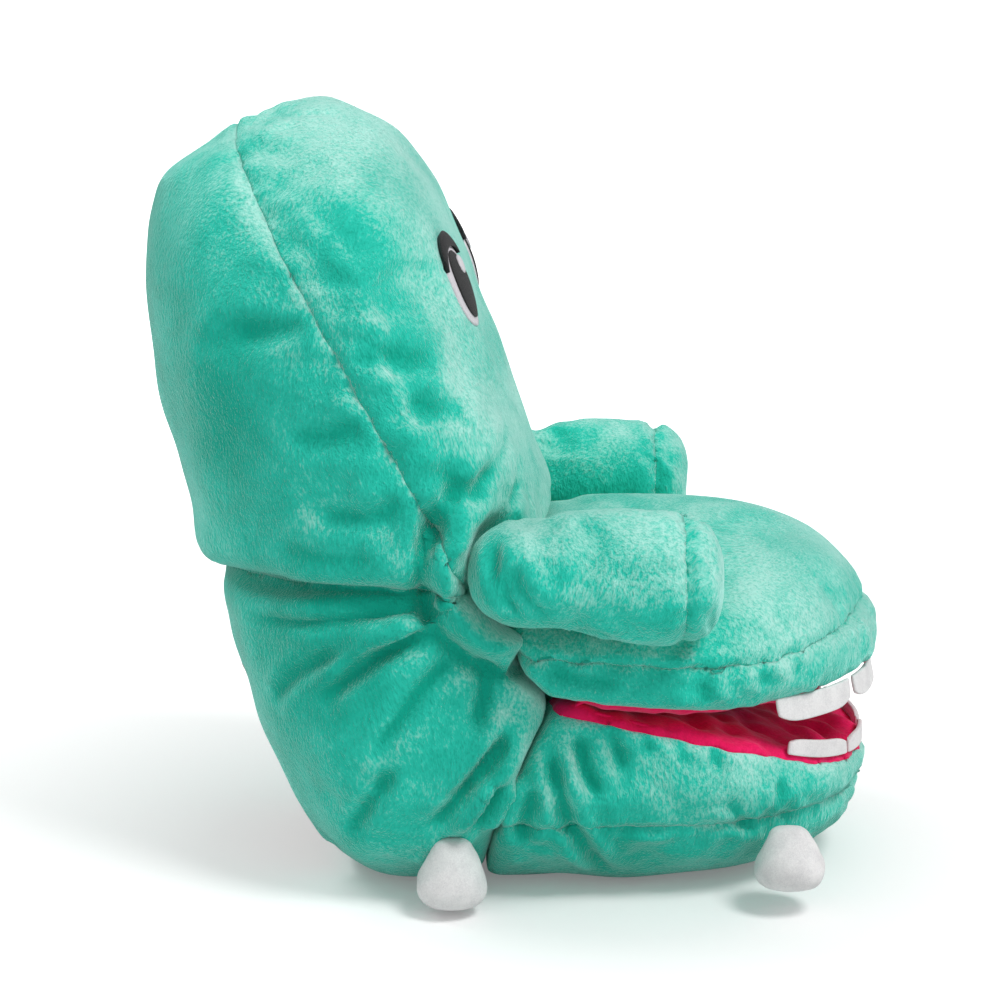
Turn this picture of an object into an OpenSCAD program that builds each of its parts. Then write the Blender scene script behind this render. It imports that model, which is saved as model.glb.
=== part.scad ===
// Plush chair-shaped hand puppet with a moving mouth.
// The puppet faces -Y and stands on z = 0. X runs across it and the model is mirrored about x = 0.
// Every soft part is a fabric cover, 2.4 mm thick, around a plain closed block of stuffing.

/* [Overall] */
// Half the width of the back pillow
pillow_half_w = 105; // [95:1:115]
// Height of the back pillow, measured along its lean
pillow_h = 213; // [200:1:220]
// How far the back pillow leans to the rear
lean = 25; // [22:1:28]
// Half the width of the rear body
torso_half_w = 98; // [94:1:102]
// Thickness of the plush cover
cover_t = 2.4; // [1.6:0.2:3.2]

/* [Mouth] */
// Half the width of the seat cushion, which is the upper jaw
seat_half_w = 97; // [94:1:99]
// Half the width of the lower jaw
jaw_half_w = 91; // [86:1:93]
// Radius of the seat's rounded rear end, about the mouth's hinge line
seat_rear_r = 32; // [30:1:33]
// Height of the mouth's hinge line
mouth_axis_z = 118; // [116:1:120]
// Thickness of the felt teeth
felt_t = 2; // [1.5:0.5:2.5]

/* [Arms and feet] */
// Radius of a stuffed arm
arm_r = 25.5; // [23:0.5:26]
// Distance of an arm's centre line from the middle
arm_x = 100; // [99:1:103]
// Height of an arm's centre line
arm_z = 142; // [141:1:144]
// Radius of a foot at its widest
foot_r = 14.5; // [12:0.5:16]

/* [Hidden] */
$fn = 64;
big = 400;
gap = 0.3;
floor_cover_t = 1.2;

mint = [0.22, 0.80, 0.70];
pink = [0.86, 0.03, 0.22];
white = [0.94, 0.94, 0.93];
black = [0.05, 0.05, 0.05];
grey = [0.55, 0.56, 0.58];
cream = [0.90, 0.88, 0.82];

// Hinge lines, each [y, z]
mouth_axis = [-28.5, mouth_axis_z];
arm_axis = [12.5, arm_z];
pillow_base = [18, 125];

// ---- outlines ----
function unit(v) = v / norm(v);
// An arc that leaves a-b and joins b-c, each r away from the corner b
function bend(a, b, c, r, n = 6) =
    r <= 0 ? [b] :
    let (p = b + unit(a - b) * r, q = b + unit(c - b) * r, w = sqrt((1 - unit(a - b) * unit(c - b)) / 2))
    [for (i = [0:n]) let (s = i / n, k = [(1 - s) * (1 - s), 2 * w * s * (1 - s), s * s])
        (p * k[0] + b * k[1] + q * k[2]) / (k[0] + k[1] + k[2])];
function flat(v) = [v[0], v[1]];
// A corner's reach, held to its share of an edge so that two roundings never meet
function share(r, other, edge) = r + other > 0.96 * edge ? 0.96 * edge * r / (r + other) : r;
// A closed outline through corners [u, v, reach of its rounding]
function rounded(c) = let (n = len(c)) [for (i = [0:n - 1])
    let (a = c[(i + n - 1) % n], b = c[i], d = c[(i + 1) % n],
         r = min(share(b[2], a[2], norm(flat(a) - flat(b))), share(b[2], d[2], norm(flat(d) - flat(b)))))
    each bend(flat(a), flat(b), flat(d), r)];
function area2(p) = let (n = len(p))
    [for (i = 0, s = 0; i <= n; s = s + (i < n ? p[i].x * p[(i + 1) % n].y - p[(i + 1) % n].x * p[i].y : 0),
          i = i + 1) if (i == n) s][0];
function normal_at(p, i) = let (n = len(p), d = unit(p[(i + 1) % n] - p[(i + n - 1) % n])) [-d.y, d.x];
// The same outline, t further in
function inset(p, t) = let (turn = area2(p) > 0 ? 1 : -1)
    [for (i = [0:len(p) - 1]) p[i] + normal_at(p, i) * t * turn];

// ---- extrusions along each axis ----
module along_x(w = big) { rotate([90, 0, 90]) linear_extrude(w, center = true) children(); }
module along_y() { rotate([90, 0, 0]) linear_extrude(2 * big, center = true) children(); }
module along_z() { linear_extrude(2 * big, center = true) children(); }
module three_way(side, front, plan) {
    intersection() {
        along_x() polygon(side);
        along_y() polygon(front);
        along_z() polygon(plan);
    }
}
module above(z) { translate([-big, -big, z]) cube([2 * big, 2 * big, big]); }
module below(z) { translate([-big, -big, z - big]) cube([2 * big, 2 * big, big]); }
module both_sides() { children(); mirror([1, 0, 0]) children(); }

// ---- back pillow, in its own leaning frame: x across, y rearward from the seam, z up along the lean ----
face_y = -49;
pillow_rear_y = 97;
pillow_side = rounded([[-43, 9, 16], [face_y - 3, 110, 16], [face_y - 1, pillow_h, 50], [52, pillow_h + 3, 50],
                       [88, 130, 40], [pillow_rear_y, 44, 12], [37, 22, 20]]);
pillow_front = rounded([[-pillow_half_w, 0, 60], [pillow_half_w, 0, 60],
                        [pillow_half_w, pillow_h + 2, 103], [-pillow_half_w, pillow_h + 2, 103]]);
pillow_plan = rounded([[-pillow_half_w, face_y - 3, 52], [pillow_half_w, face_y - 3, 52],
                       [pillow_half_w, pillow_rear_y, 94], [-pillow_half_w, pillow_rear_y, 94]]);

module leaning() { translate([0, pillow_base.x, pillow_base.y]) rotate([-lean, 0, 0]) children(); }
module pillow_form(t = 0) {
    difference() {
        leaning() three_way(inset(pillow_side, t), inset(pillow_front, t), inset(pillow_plan, t));
        arm_room(t);
    }
}
arm_clear = 2;
pillow_clear = 4;
// Room for an arm's rounded root and for its lift, at each side
module arm_room(t) {
    both_sides() translate([arm_x - arm_r - 3 - t + 50, 0, 0]) along_x(100) {
        translate(arm_axis) circle(r = arm_r + pillow_clear + t);
        polygon([arm_axis + [25, 8 + t], arm_axis + [8, 35 + t], arm_axis + [-20, 48 + t],
                 arm_axis + [-75, 48 + t], arm_axis + [-75, -20], arm_axis + [0, -20]]);
    }
}
module front_of_seam(s = 1) { leaning() translate([-big, s > 0 ? -big : 0.1, -big]) cube([2 * big, big, 2 * big]); }

module face_panel() { color(mint) intersection() { pillow_cover(); front_of_seam(1); } }
module back_panel() { color(mint) intersection() { pillow_cover(); front_of_seam(-1); } }
module pillow_cover() { difference() { pillow_form(); pillow_form(cover_t); } }
module pillow_stuffing() { color(cream) pillow_form(cover_t + gap); }

// ---- eyes: embroidered patches stacked on the face ----
eye_at = [50, 117];
patch_t = 0.8;
module on_face(side, layer, dx = 0, dz = 0) {
    leaning() translate([side * (eye_at.x + dx), face_y - 3 - layer * patch_t - 0.05, eye_at.y + dz])
        rotate([90, 0, 0]) linear_extrude(patch_t - 0.05) children();
}
module oval(w, h) {
    intersection() {
        translate([h - w, 0]) circle(r = h, $fn = 96);
        translate([w - h, 0]) circle(r = h, $fn = 96);
    }
}
module eye_white(side) { color(white) on_face(side, 0) oval(13, 18); }
module eye_pupil(side) { color(black) on_face(side, 1, 0, -1) oval(9, 13); }
module eye_glint(side) { color(white) on_face(side, 2, -2.5, 5) circle(r = 2.6); }
module eyelid(side) {
    color(black) on_face(side, 1) difference() {
        oval(14.5, 19.5);
        oval(12.2, 17.2);
        translate([-30, -40]) square([60, 48]);
    }
}

// ---- torso: the rear body behind the mouth, with the way in for the hand ----
torso_front_top = [-2, 134];
mouth_corner = [-16.5, 86];
jaw_join_foot = [15.5, 0];
torso_rear_top = [124, 108];
torso_side = rounded([[torso_front_top.x, torso_front_top.y, 3], [mouth_corner.x, mouth_corner.y, 0],
                      [jaw_join_foot.x, 0, 0], [58, 0, 24], [104, 30, 34],
                      [torso_rear_top.x, torso_rear_top.y, 9]]);
torso_front = rounded([[-58, 0, 24], [58, 0, 24], [torso_half_w, 50, 24], [torso_half_w, 150, 30],
                       [-torso_half_w, 150, 30], [-torso_half_w, 50, 24]]);
torso_plan = rounded([[-torso_half_w, -40, 0], [torso_half_w, -40, 0], [torso_half_w, 126, 78],
                      [-torso_half_w, 126, 78]]);
// The inner block keeps the joins to the jaw and the floor where they are
function torso_inner(t) = rounded([[torso_front_top.x + t, torso_front_top.y - t, 3],
    [mouth_corner.x + t, mouth_corner.y, 0], [jaw_join_foot.x + t, floor_cover_t, 0],
    [58, floor_cover_t, 24], [104 - t, 30 + t, 34], [torso_rear_top.x - t, torso_rear_top.y - t, 9]]);

module torso_form(t = 0) {
    difference() {
        three_way(t > 0 ? torso_inner(t) : torso_side, inset(torso_front, t), inset(torso_plan, t));
        translate([0, mouth_axis.x, mouth_axis.y]) rotate([0, 90, 0])
            cylinder(r = seat_rear_r + 0.8 + t, h = big, center = true);
        both_sides() translate([arm_x - arm_r - 3 - t, arm_axis.x, arm_axis.y])
            rotate([0, 90, 0]) cylinder(r = arm_r + arm_clear + t, h = 100);
    }
}
// The hand's way in: an opening low at the rear, a port to the seat and a port to the lower jaw
sleeve_half_w = 46;
sleeve_t = 1.5;
finger_port = [91, 113];
thumb_port = [46, 74];
chamber = [[160, 76], [27, 113], [-60, 113], [-60, finger_port[0]], [18, finger_port[0]], [18, thumb_port[1]],
           [-30, thumb_port[1]], [-30, thumb_port[0]], [27, thumb_port[0]], [104, -16], [160, -16]];
module hand_way(t = 0) { along_x(2 * (sleeve_half_w + t)) polygon(t > 0 ? inset(chamber, -t) : chamber); }
module torso_panel() {
    color(mint) difference() {
        torso_form();
        torso_form(cover_t);
        hand_way(sleeve_t + gap);
    }
}
module torso_stuffing() {
    color(cream) difference() {
        torso_form(cover_t + gap);
        hand_way(sleeve_t + gap);
    }
}
module hand_sleeve() {
    color(grey) intersection() {
        difference() {
            hand_way(sleeve_t);
            hand_way();
        }
        torso_form();
    }
}

// ---- lower jaw ----
jaw_front_y = -149.5;
jaw_rim_front_z = 51;
jaw_side = rounded([[mouth_corner.x - 0.5, mouth_corner.y, 0], [-70.5, 74, 25],
                    [jaw_front_y, jaw_rim_front_z, 0], [jaw_front_y, 32, 24], [-124, 0, 24],
                    [jaw_join_foot.x - 0.5, 0, 0]]);
// The inside runs past the rear, where the jaw is open to the torso
jaw_inner_side = rounded([[mouth_corner.x + 2, mouth_corner.y + 8, 0], [-70.5, 82, 25],
                    [jaw_front_y + cover_t, jaw_rim_front_z + 8, 0], [jaw_front_y + cover_t, 32, 24],
                    [-124, floor_cover_t, 24], [jaw_join_foot.x + 2, floor_cover_t, 0]]);
jaw_plan = rounded([[-jaw_half_w, 60, 0], [jaw_half_w, 60, 0], [jaw_half_w, jaw_front_y, 88],
                    [-jaw_half_w, jaw_front_y, 88]]);
jaw_front_view = rounded([[-54, 0, 24], [54, 0, 24], [jaw_half_w, 44, 24], [jaw_half_w, 120, 0],
                          [-jaw_half_w, 120, 0], [-jaw_half_w, 44, 24]]);
jaw_seam_z = 34;
pocket_half_w = 44;
board_t = 2;
lining_t = 3;

module jaw_form(t = 0) {
    three_way(t > 0 ? jaw_inner_side : jaw_side, inset(jaw_front_view, t), inset(jaw_plan, t));
}
// The line of the rim, rear to front, as seen from the side
rim_line = [[mouth_corner.x - 4, mouth_corner.y - 0.6], [-70.5, 74], [jaw_front_y + 4, jaw_rim_front_z + 1.2]];
// A sheet that follows the rim, from depth d0 to depth d1 below it
module under_rim(d0, d1) {
    along_x() polygon(concat([for (p = rim_line) p - [0, d0]], [for (i = [2:-1:0]) rim_line[i] - [0, d1]]));
}
sheets_t = lining_t + board_t + 0.6;
pocket_h = 21;
pocket_front_y = -95;
pocket_rear_y = -60;
module pocket_block(t) {
    intersection() {
        under_rim(sheets_t + sleeve_t - t, sheets_t + sleeve_t + pocket_h + t);
        translate([-pocket_half_w - t, pocket_front_y - t, 0]) cube([2 * (pocket_half_w + t), 200, 200]);
    }
}
module jaw_cover() { difference() { jaw_form(); jaw_form(cover_t); } }
module lower_jaw_panel() { color(mint) intersection() { jaw_cover(); above(jaw_seam_z); } }
module bottom_panel() { color(mint) intersection() { jaw_cover(); below(jaw_seam_z - 0.1); } }
module lower_jaw_stuffing() {
    way = pocket_half_w + sleeve_t + gap;
    color(cream) difference() {
        intersection() {
            jaw_form(cover_t + gap);
            jaw_form();
        }
        under_rim(-60, sheets_t);
        pocket_block(sleeve_t + gap);
        translate([-way, pocket_rear_y, thumb_port[0] - sleeve_t - gap]) cube([2 * way, 100, 60]);
        translate([-big, mouth_corner.x - 4, mouth_corner.y - 0.6 - sheets_t]) cube(2 * big);
    }
}
module thumb_pocket() {
    color(grey) difference() {
        pocket_block(sleeve_t);
        pocket_block(0);
        translate([-big, pocket_rear_y, 0]) cube([2 * big, big, big]);
    }
}
// A sheet within the covers' walls
module jaw_sheet(d0, d1) {
    intersection() {
        under_rim(d0, d1);
        three_way(jaw_side, inset(jaw_front_view, cover_t + gap), inset(jaw_plan, cover_t + gap));
    }
}
module lower_mouth_board() { color(grey) jaw_sheet(lining_t + 0.3, lining_t + board_t + 0.3); }
module lower_mouth_lining() { color(pink) jaw_sheet(0, lining_t); }

// ---- seat cushion: the upper jaw ----
seat_front_y = -154.5;
seat_top_z = 150;
seat_bottom_z = 85;
seat_seam_z = 108;
seat_plan = rounded([[-seat_half_w, 60, 0], [seat_half_w, 60, 0], [seat_half_w, seat_front_y, 94],
                     [-seat_half_w, seat_front_y, 94]]);
// The dome across the seat: full height in the middle, down to the seam at each side
function seat_dome(t) = concat([[seat_half_w - t, seat_bottom_z], [-seat_half_w + t, seat_bottom_z]],
    [for (i = [-8:8]) let (u = i / 8) [u * (seat_half_w - t), seat_seam_z - t + (seat_top_z - seat_seam_z) * (1 - u * u)]]);
function seat_outline(t) = rounded([[mouth_axis.x, seat_top_z - t, 0], [-92, seat_top_z - t, 36],
    [-143, 128 - t, 26], [seat_front_y + t, 98, 12], [-151 + t, seat_bottom_z, 2], [mouth_axis.x, seat_bottom_z, 0]]);
module seat_side(t = 0) {
    polygon(seat_outline(t));
    intersection() {
        translate(mouth_axis) circle(r = seat_rear_r - t, $fn = 96);
        translate([-60, seat_bottom_z]) square([200, 100]);
    }
}
module seat_form(t = 0) {
    intersection() {
        along_x() seat_side(t);
        along_y() polygon(seat_dome(t));
        along_z() polygon(inset(seat_plan, t));
    }
}
seat_block_z = seat_bottom_z + lining_t + board_t + 0.6;
finger_half_w = 44;
finger_front_y = -118;
module finger_block(t) {
    translate([-finger_half_w - t, finger_front_y - t, seat_block_z + 0.1])
        cube([2 * (finger_half_w + t), 200, finger_port[1] - seat_block_z - 2 + t]);
}
module seat_cover() {
    difference() {
        seat_form();
        seat_form(cover_t);
        translate([-finger_half_w - sleeve_t - gap, -60, seat_bottom_z - 5])
            cube([2 * (finger_half_w + sleeve_t + gap), 120, finger_port[1] - seat_bottom_z + 5]);
    }
}
module seat_top_panel() { color(mint) intersection() { seat_cover(); above(seat_seam_z); } }
module seat_band() { color(mint) intersection() { seat_cover(); below(seat_seam_z - 0.1); } }
module seat_stuffing() {
    color(cream) difference() {
        seat_form(cover_t + gap);
        below(seat_block_z);
        finger_block(sleeve_t + gap);
    }
}
module finger_pocket() {
    color(grey) intersection() {
        difference() {
            finger_block(sleeve_t);
            finger_block(0);
            translate([0, 0, -5]) finger_block(0);
        }
        seat_form(cover_t + gap);
    }
}
module upper_sheet(z0, z1) {
    intersection() {
        seat_form(cover_t + gap);
        translate([-200, -200, z0]) cube([400, 200 + mouth_axis.x + 22, z1 - z0]);
    }
}
module upper_mouth_board() { color(grey) upper_sheet(seat_bottom_z + lining_t + 0.2, seat_bottom_z + lining_t + board_t + 0.2); }
module upper_mouth_lining() { color(pink) upper_sheet(seat_bottom_z + 0.05, seat_bottom_z + lining_t); }

// ---- teeth: felt strips that follow the front of each jaw ----
upper_tooth_from = 28.5;
upper_tooth_span = 29;
lower_tooth_from = 34;
lower_tooth_span = 27;
upper_tooth_h = 9;
lower_tooth_h = 7;
// Four teeth spread evenly, so the last ends where the first begins on the other side
function tooth_start(n, from, span) = 180 - from - span - (n - 1) * (180 - 2 * from - span) / 3;
module arc_strip(centre_y, r, first, span, z0, z1) {
    translate([0, centre_y, 0]) rotate([0, 0, -first - span])
        rotate_extrude(angle = span, $fn = 96) translate([r - felt_t, z0]) square([felt_t, z1 - z0]);
}
// Angles run round the front from the puppet's left side, so tooth 1 is at its right
module upper_tooth(n) {
    color(white) arc_strip(-60.5, 94, tooth_start(n, upper_tooth_from, upper_tooth_span), upper_tooth_span,
                           seat_bottom_z - upper_tooth_h, seat_bottom_z - 0.2);
}
module lower_tooth(n) {
    rim = [[-70.5, 74.2], [-160, 74.2 - 89.5 * 23 / 79]];
    color(white) intersection() {
        arc_strip(-60.5, 89, tooth_start(n, lower_tooth_from, lower_tooth_span), lower_tooth_span, 20, 100);
        along_x() polygon([rim[0], rim[1], rim[1] + [0, lower_tooth_h], rim[0] + [0, lower_tooth_h]]);
    }
}

// ---- arms: a stuffed tube, closed by a round end panel ----
arm_front_y = -64.5;
arm_cap_bulge = 15;
module arm_solid(side, t) {
    translate([side * arm_x, arm_axis.x, arm_axis.y]) {
        rotate([90, 0, 0]) cylinder(r = arm_r - t, h = arm_axis.x - arm_front_y);
        sphere(r = arm_r - t);
        translate([0, arm_front_y - arm_axis.x, 0]) rotate([90, 0, 0]) arm_cap(t);
    }
}
// The end panel bulges as a shallow cap with a round shoulder
module arm_cap(t) {
    shoulder = 9;
    rotate_extrude() {
        square([arm_r - shoulder, arm_cap_bulge - t]);
        square([arm_r - t, arm_cap_bulge - shoulder]);
        translate([arm_r - shoulder, arm_cap_bulge - shoulder]) intersection() {
            circle(r = shoulder - t);
            square(shoulder);
        }
    }
}
module arm_cover(side) { difference() { arm_solid(side, 0); arm_solid(side, cover_t); } }
module arm_tube(side) { color(mint) intersection() { arm_cover(side); translate([-big, arm_front_y, -big]) cube(2 * big); } }
module arm_end(side) {
    color(mint) intersection() { arm_cover(side); translate([-big, arm_front_y - 0.1 - 2 * big, -big]) cube(2 * big); }
}
module arm_stuffing(side) { color(cream) arm_solid(side, cover_t + gap); }

// ---- feet: small stuffed felt cones ----
// The bottom splays outward, and the narrow top meets the underside's seam
module foot(side, x, y, z, h, splay) {
    color(white) translate([side * x, y, z]) rotate([0, -side * splay, 0]) rotate_extrude() {
        polygon([[0, 0], [foot_r * 0.62, 0], [foot_r * 0.9, h * 0.09], [foot_r, h * 0.28],
                 [foot_r * 0.93, h * 0.5], [foot_r * 0.52, h * 0.93], [foot_r * 0.3, h], [0, h]]);
    }
}
module front_foot(side) { foot(side, 93.5, -110, 9.5, 27, 19); }
module rear_foot(side) { foot(side, 95, 27, 2.2, 30, 14); }

face_panel();
back_panel();
pillow_stuffing();
eye_white(-1);  // right_eye_white
eye_pupil(-1);  // right_eye_pupil
eye_glint(-1);  // right_eye_glint
eyelid(-1);  // right_eyelid
eye_white(1);  // left_eye_white
eye_pupil(1);  // left_eye_pupil
eye_glint(1);  // left_eye_glint
eyelid(1);  // left_eyelid
torso_panel();
torso_stuffing();
hand_sleeve();
lower_jaw_panel();
bottom_panel();
lower_jaw_stuffing();
thumb_pocket();
lower_mouth_board();
lower_mouth_lining();
lower_tooth(1);  // lower_tooth_1
lower_tooth(2);  // lower_tooth_2
lower_tooth(3);  // lower_tooth_3
lower_tooth(4);  // lower_tooth_4
seat_top_panel();
seat_band();
seat_stuffing();
finger_pocket();
upper_mouth_board();
upper_mouth_lining();
upper_tooth(1);  // upper_tooth_1
upper_tooth(2);  // upper_tooth_2
upper_tooth(3);  // upper_tooth_3
upper_tooth(4);  // upper_tooth_4
arm_tube(-1);  // right_arm_tube
arm_end(-1);  // right_arm_end
arm_stuffing(-1);  // right_arm_stuffing
arm_tube(1);  // left_arm_tube
arm_end(1);  // left_arm_end
arm_stuffing(1);  // left_arm_stuffing
front_foot(-1);  // front_right_foot
front_foot(1);  // front_left_foot
rear_foot(-1);  // rear_right_foot
rear_foot(1);  // rear_left_foot
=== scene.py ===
"""Plush hand puppet shaped like a low armchair, with a moving mouth: its sewn covers, felt trims and linings."""

import math

import bmesh
import bpy
import numpy as np
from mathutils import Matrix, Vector
from mathutils.bvhtree import BVHTree


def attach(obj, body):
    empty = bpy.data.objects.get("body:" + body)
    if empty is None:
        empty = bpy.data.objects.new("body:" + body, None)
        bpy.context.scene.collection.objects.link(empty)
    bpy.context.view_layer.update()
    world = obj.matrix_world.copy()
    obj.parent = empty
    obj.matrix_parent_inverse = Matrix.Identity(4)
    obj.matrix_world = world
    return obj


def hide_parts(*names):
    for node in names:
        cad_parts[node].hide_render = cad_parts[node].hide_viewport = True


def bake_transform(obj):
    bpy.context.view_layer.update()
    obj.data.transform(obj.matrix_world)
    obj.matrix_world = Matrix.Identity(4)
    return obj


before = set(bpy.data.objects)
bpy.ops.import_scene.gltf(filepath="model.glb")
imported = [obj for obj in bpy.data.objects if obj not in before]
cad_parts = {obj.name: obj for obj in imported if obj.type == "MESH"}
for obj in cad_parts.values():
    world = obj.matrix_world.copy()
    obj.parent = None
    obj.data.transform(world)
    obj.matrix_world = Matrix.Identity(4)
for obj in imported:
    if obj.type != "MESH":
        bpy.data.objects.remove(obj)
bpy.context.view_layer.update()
MM = 0.001


# ---- body skin: back pillow and rear body ----
# The big stuffed skin is cut from short pile plush: a face panel and a back panel meet in a seam round the
# pillow, and the rear body joins on below in a deep fold. All of it is sewn inside out, turned and filled.
def through(points, x):
    """A smooth curve through a few (x, y) points, read at x; the ends run on flat."""
    px, py = (np.array(c, float) for c in zip(*points))
    slope = np.gradient(py, px)
    x = np.clip(x, px[0], px[-1])
    i = np.clip(np.searchsorted(px, x) - 1, 0, len(px) - 2)
    step = px[i + 1] - px[i]
    t = (x - px[i]) / step
    a, b = py[i], py[i + 1]
    return ((2 * t**3 - 3 * t**2 + 1) * a + (t**3 - 2 * t**2 + t) * slope[i] * step
            + (3 * t**2 - 2 * t**3) * b + (t**3 - t**2) * slope[i + 1] * step)


def soft_union(a, b, k):
    h = np.clip(k - np.abs(a - b), 0, None) / k
    return np.minimum(a, b) - h * h * k / 4


def soft_common(a, b, k):
    return -soft_union(-a, -b, k)


def round_section(across, half_across, along, front, rear, power, size=90):
    """About how far a point lies outside a rounded section whose front and rear depths differ."""
    depth = np.where(along < 0, front, rear)
    reach = (np.abs(across) / half_across) ** power + (np.abs(along) / np.maximum(depth, 0.5)) ** power
    return (reach ** (1 / power) - 1) * size


def show(name, bm):
    """Makes the shape in bm an object in the scene, and lets bm go."""
    mesh = bpy.data.meshes.new(name)
    bm.to_mesh(mesh)
    bm.free()
    obj = bpy.data.objects.new(name, mesh)
    bpy.context.scene.collection.objects.link(obj)
    return obj


def grow(name, centre, outside, cuts=40, reach=330):
    """A closed mesh: a finely cut ball whose points move out from centre, in mm, until outside() turns positive."""
    bm = bmesh.new()
    bmesh.ops.create_cube(bm, size=2)
    bmesh.ops.subdivide_edges(bm, edges=bm.edges[:], cuts=cuts, use_grid_fill=True)
    flat = np.array([v.co for v in bm.verts])
    warped = np.tan(flat * (math.pi / 4 * 0.94)) / math.tan(math.pi / 4 * 0.94)
    ray = warped / np.linalg.norm(warped, axis=1)[:, None]
    near, far = np.zeros(len(ray)), np.full(len(ray), float(reach))
    for _ in range(26):
        middle = (near + far) / 2
        inside = outside(*(np.array(centre)[:, None] + ray.T * middle)) < 0
        near, far = np.where(inside, middle, near), np.where(inside, far, middle)
    for v, p in zip(bm.verts, np.array(centre) + ray * near[:, None]):
        v.co = p * MM
    return show(name, bm)


def settle(obj):
    """Applies the object's modifiers to its mesh."""
    bpy.context.view_layer.update()
    mesh = bpy.data.meshes.new_from_object(obj.evaluated_get(bpy.context.evaluated_depsgraph_get()))
    mesh.name = obj.name
    obj.modifiers.clear()
    obj.data = mesh


def points_of(obj):
    co = np.empty(len(obj.data.vertices) * 3)
    obj.data.vertices.foreach_get("co", co)
    return co.reshape(-1, 3) / MM


def place(obj, points):
    obj.data.vertices.foreach_set("co", (points * MM).ravel())
    obj.data.update()


def normals_of(obj):
    n = np.empty(len(obj.data.vertices) * 3)
    obj.data.vertex_normals.foreach_get("vector", n)
    return n.reshape(-1, 3)


def remesh(obj, size):
    m = obj.modifiers.new("even", "REMESH")
    m.mode, m.voxel_size, m.use_smooth_shade = "VOXEL", size * MM, True
    settle(obj)


def stuff(obj, held, pressure=4.0, slack=0.04, frames=20, cap=8.0, bend=0.3):
    """Fills the cover: cloth under pressure, slack enough to gather where held(x, y, z) is near 1.
    No point moves more than cap mm."""
    start = points_of(obj)
    group = obj.vertex_groups.new(name="held")
    for i, w in enumerate(held(*start.T)):
        if w > 0.01:
            group.add([i], float(w), "REPLACE")
    cloth = obj.modifiers.new("filling", "CLOTH")
    s = cloth.settings
    s.quality, s.mass, s.bending_stiffness = 6, 0.25, bend
    s.tension_stiffness = s.compression_stiffness = 12
    s.use_pressure, s.uniform_pressure_force = True, pressure
    s.shrink_min = -slack
    s.vertex_group_mass = "held"
    s.effector_weights.gravity = 0
    cloth.collision_settings.use_collision = False
    cloth.point_cache.frame_end = frames
    scene = bpy.context.scene
    for f in range(1, frames + 1):
        scene.frame_set(f)
    settle(obj)
    scene.frame_set(1)
    obj.vertex_groups.clear()
    moved = points_of(obj) - start
    far = np.linalg.norm(moved, axis=1)[:, None]
    place(obj, start + moved * np.minimum(1, cap / np.maximum(far, 1e-6)))


def refine(obj, levels=1):
    m = obj.modifiers.new("finer", "SUBSURF")
    m.levels = m.render_levels = levels
    settle(obj)


def near_line(p, line):
    """Distance of each point to a line of points, and how far along it the nearest place is, from 0 to 1."""
    best, along, run = np.full(len(p), 1e9), np.zeros(len(p)), 0.0
    line = [np.array(q, float) for q in line]
    total = sum(np.linalg.norm(b - a) for a, b in zip(line, line[1:]))
    for a, b in zip(line, line[1:]):
        length = np.linalg.norm(b - a)
        t = np.clip(((p - a) @ (b - a)) / length**2, 0, 1)
        d = np.linalg.norm(p - a - t[:, None] * (b - a), axis=1)
        along = np.where(d < best, (run + t * length) / total, along)
        best = np.minimum(best, d)
        run += length
    return best, along


def nearest_on(p, line):
    """The nearest place on a line of points to each point."""
    best, found = np.full(len(p), 1e9), np.zeros_like(p)
    line = [np.array(q, float) for q in line]
    for a, b in zip(line, line[1:]):
        t = np.clip(((p - a) @ (b - a)) / max(np.dot(b - a, b - a), 1e-9), 0, 1)
        q = a + t[:, None] * (b - a)
        d = np.linalg.norm(p - q, axis=1)
        found = np.where((d < best)[:, None], q, found)
        best = np.minimum(best, d)
    return found


LEAN = math.radians(25)
PILLOW_FOOT = (18.0, 125.0)
PILLOW_TOP = 211.0


def leaning(y, z):
    """Rearward and upward in the pillow's own frame, whose upright runs along the seam."""
    dy, dz = y - PILLOW_FOOT[0], z - PILLOW_FOOT[1]
    return (math.cos(LEAN) * dy - math.sin(LEAN) * dz, math.sin(LEAN) * dy + math.cos(LEAN) * dz)


def upright(rearward, up):
    """The way back from the pillow's frame."""
    return (PILLOW_FOOT[0] + math.cos(LEAN) * rearward + math.sin(LEAN) * up,
            PILLOW_FOOT[1] - math.sin(LEAN) * rearward + math.cos(LEAN) * up)


# Outlines are (height, reach) pairs, in mm: how far the form reaches to its front, rear and side at each height.
PILLOW_FRONT = [(-30, 34), (10, 40), (47, 44), (96, 49), (138, 52), (166, 51), (184, 45), (196, 36), (205, 24),
                (211.5, 1)]
PILLOW_REAR = [(-30, 80), (5, 88), (42, 95), (69, 94), (100, 90), (127, 85), (160, 74), (180, 65), (196, 54),
               (205, 41), (211.5, 1)]
PILLOW_HALF = [(-30, 84), (0, 97), (30, 103), (70, 104.5), (105, 103.5), (140, 97), (165, 85), (185, 69), (198, 52),
               (207, 33), (211.5, 1)]
PILLOW_MIDDLE = [(-30, 0), (150, 0), (185, 6), (211, 15)]


def outside_pillow(x, y, z):
    rear, up = leaning(y, z)
    middle = through(PILLOW_MIDDLE, up)
    side = round_section(x, through(PILLOW_HALF, up), rear - middle, through(PILLOW_FRONT, up) + middle,
                         through(PILLOW_REAR, up) - middle, 2.35)
    return soft_common(side, np.maximum(up - PILLOW_TOP, -6 - up), 4)


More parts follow.
